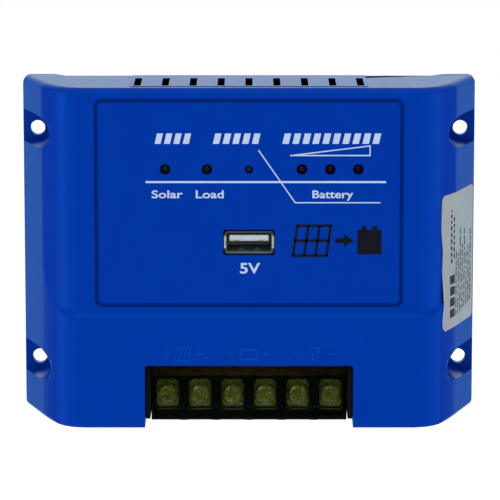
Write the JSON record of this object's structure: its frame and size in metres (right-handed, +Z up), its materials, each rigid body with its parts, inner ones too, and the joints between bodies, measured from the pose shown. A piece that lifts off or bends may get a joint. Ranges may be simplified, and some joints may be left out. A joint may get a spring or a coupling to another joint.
{
  "type": "solar charge controller",
  "caption": "Wall-mounted solar charge controller: a sloped plastic case with status lights, a USB socket and screw terminals under a smoky clear cover.",
  "frame": {"origin": "middle of the flat back face, which lies against the wall", "axes": "+X to the right as seen from the front, +Y into the wall, +Z up as it hangs; the front faces -Y"},
  "size_m": [0.1326, 0.037, 0.0986],
  "materials": {
    "case_plastic": "satin royal-blue moulded plastic",
    "label_film": "satin printed film",
    "sticker_film": "satin silver-grey film",
    "plate_aluminium": "bare sheet",
    "zinc_steel": "zinc plated",
    "contact_brass": "tinned brass",
    "black_plastic": "matt moulded plastic",
    "smoky_plastic": "clear olive-smoky plastic",
    "circuit_board": "solder-masked glass-epoxy board",
    "socket_steel": "nickel-plated sheet",
    "white_plastic": "moulded plastic",
    "green_lens": "tinted epoxy lens",
    "amber_lens": "tinted epoxy lens",
    "red_lens": "tinted epoxy lens",
    "grey_plastic": "moulded plastic",
    "capacitor_sleeve": "shrink sleeve over an aluminium can",
    "ferrite": "coated iron-powder ring",
    "copper": "enamelled copper wire",
    "pad_silicone": "silicone pad",
    "fuse_plastic": "clear tinted plastic"
  },
  "bodies": {
    "case": {"front_cover": "case_plastic", "front_label": "label_film", "rating_label": "sticker_film", "rear_plate": "plate_aluminium", "case_screw_1": "zinc_steel", "case_screw_2": "zinc_steel", "case_screw_3": "zinc_steel", "case_screw_4": "zinc_steel", "pcb_screw_1": "zinc_steel", "pcb_screw_2": "zinc_steel", "pcb_screw_3": "zinc_steel", "pcb_screw_4": "zinc_steel", "display_screw_1": "zinc_steel", "display_screw_2": "zinc_steel", "clamp_screw_1": "zinc_steel", "clamp_screw_2": "zinc_steel", "terminal_contact_1": "contact_brass", "terminal_contact_2": "contact_brass", "terminal_contact_3": "contact_brass", "terminal_contact_4": "contact_brass", "terminal_contact_5": "contact_brass", "terminal_contact_6": "contact_brass", "terminal_block": "black_plastic", "board_header": "black_plastic", "microcontroller": "black_plastic", "mode_switch": "black_plastic", "mosfet_1": "black_plastic", "mosfet_2": "black_plastic", "mosfet_3": "black_plastic", "mosfet_4": "black_plastic", "main_pcb": "circuit_board", "display_pcb": "circuit_board", "usb_shell": "socket_steel", "mosfet_clamp": "socket_steel", "usb_insulator": "white_plastic", "led_solar": "green_lens", "led_load": "green_lens", "led_battery_1": "amber_lens", "led_battery_2": "red_lens", "led_battery_3": "red_lens", "capacitor_1": "capacitor_sleeve", "capacitor_2": "capacitor_sleeve", "inductor_core": "ferrite", "inductor_coil": "copper", "thermal_pad": "pad_silicone", "fuse": "fuse_plastic"},
    "lid": {"terminal_cover": "smoky_plastic"},
    "clamp_1": {"clamp_plate_1": "zinc_steel"},
    "screw_1": {"terminal_screw_1": "zinc_steel"},
    "clamp_2": {"clamp_plate_2": "zinc_steel"},
    "screw_2": {"terminal_screw_2": "zinc_steel"},
    "clamp_3": {"clamp_plate_3": "zinc_steel"},
    "screw_3": {"terminal_screw_3": "zinc_steel"},
    "clamp_4": {"clamp_plate_4": "zinc_steel"},
    "screw_4": {"terminal_screw_4": "zinc_steel"},
    "clamp_5": {"clamp_plate_5": "zinc_steel"},
    "screw_5": {"terminal_screw_5": "zinc_steel"},
    "clamp_6": {"clamp_plate_6": "zinc_steel"},
    "screw_6": {"terminal_screw_6": "zinc_steel"},
    "button": {"mode_button": "grey_plastic"}
  },
  "joints": [
    {"name": "lid_pull", "type": "slide", "parent": "case", "child": "lid", "axis": [0, -1, 0], "range_m": [0, 0.025]},
    {"name": "clamp_lift_1", "type": "slide", "parent": "case", "child": "clamp_1", "axis": [0, -1, 0], "range_m": [0, 0.0021]},
    {"name": "screw_turn_1", "type": "hinge", "parent": "clamp_1", "child": "screw_1", "pos_m": [-0.02375, -0.0225, -0.0418], "axis": [0, -1, 0], "range_deg": [0, 1080]},
    {"name": "clamp_lift_2", "type": "slide", "parent": "case", "child": "clamp_2", "axis": [0, -1, 0], "range_m": [0, 0.0021]},
    {"name": "screw_turn_2", "type": "hinge", "parent": "clamp_2", "child": "screw_2", "pos_m": [-0.01425, -0.0225, -0.0418], "axis": [0, -1, 0], "range_deg": [0, 1080]},
    {"name": "clamp_lift_3", "type": "slide", "parent": "case", "child": "clamp_3", "axis": [0, -1, 0], "range_m": [0, 0.0021]},
    {"name": "screw_turn_3", "type": "hinge", "parent": "clamp_3", "child": "screw_3", "pos_m": [-0.00475, -0.0225, -0.0418], "axis": [0, -1, 0], "range_deg": [0, 1080]},
    {"name": "clamp_lift_4", "type": "slide", "parent": "case", "child": "clamp_4", "axis": [0, -1, 0], "range_m": [0, 0.0021]},
    {"name": "screw_turn_4", "type": "hinge", "parent": "clamp_4", "child": "screw_4", "pos_m": [0.00475, -0.0225, -0.0418], "axis": [0, -1, 0], "range_deg": [0, 1080]},
    {"name": "clamp_lift_5", "type": "slide", "parent": "case", "child": "clamp_5", "axis": [0, -1, 0], "range_m": [0, 0.0021]},
    {"name": "screw_turn_5", "type": "hinge", "parent": "clamp_5", "child": "screw_5", "pos_m": [0.01425, -0.0225, -0.0418], "axis": [0, -1, 0], "range_deg": [0, 1080]},
    {"name": "clamp_lift_6", "type": "slide", "parent": "case", "child": "clamp_6", "axis": [0, -1, 0], "range_m": [0, 0.0021]},
    {"name": "screw_turn_6", "type": "hinge", "parent": "clamp_6", "child": "screw_6", "pos_m": [0.02375, -0.0225, -0.0418], "axis": [0, -1, 0], "range_deg": [0, 1080]},
    {"name": "button_press", "type": "slide", "parent": "case", "child": "button", "axis": [0, 1, 0], "range_m": [0, 0.0003], "stiffness_N_per_m": 2000}
  ],
  "couplings": [
    {"joint": "screw_turn_1", "follows": "clamp_lift_1", "rad_per_m": 8975.9},
    {"joint": "screw_turn_2", "follows": "clamp_lift_2", "rad_per_m": 8975.9},
    {"joint": "screw_turn_3", "follows": "clamp_lift_3", "rad_per_m": 8975.9},
    {"joint": "screw_turn_4", "follows": "clamp_lift_4", "rad_per_m": 8975.9},
    {"joint": "screw_turn_5", "follows": "clamp_lift_5", "rad_per_m": 8975.9},
    {"joint": "screw_turn_6", "follows": "clamp_lift_6", "rad_per_m": 8975.9}
  ]
}
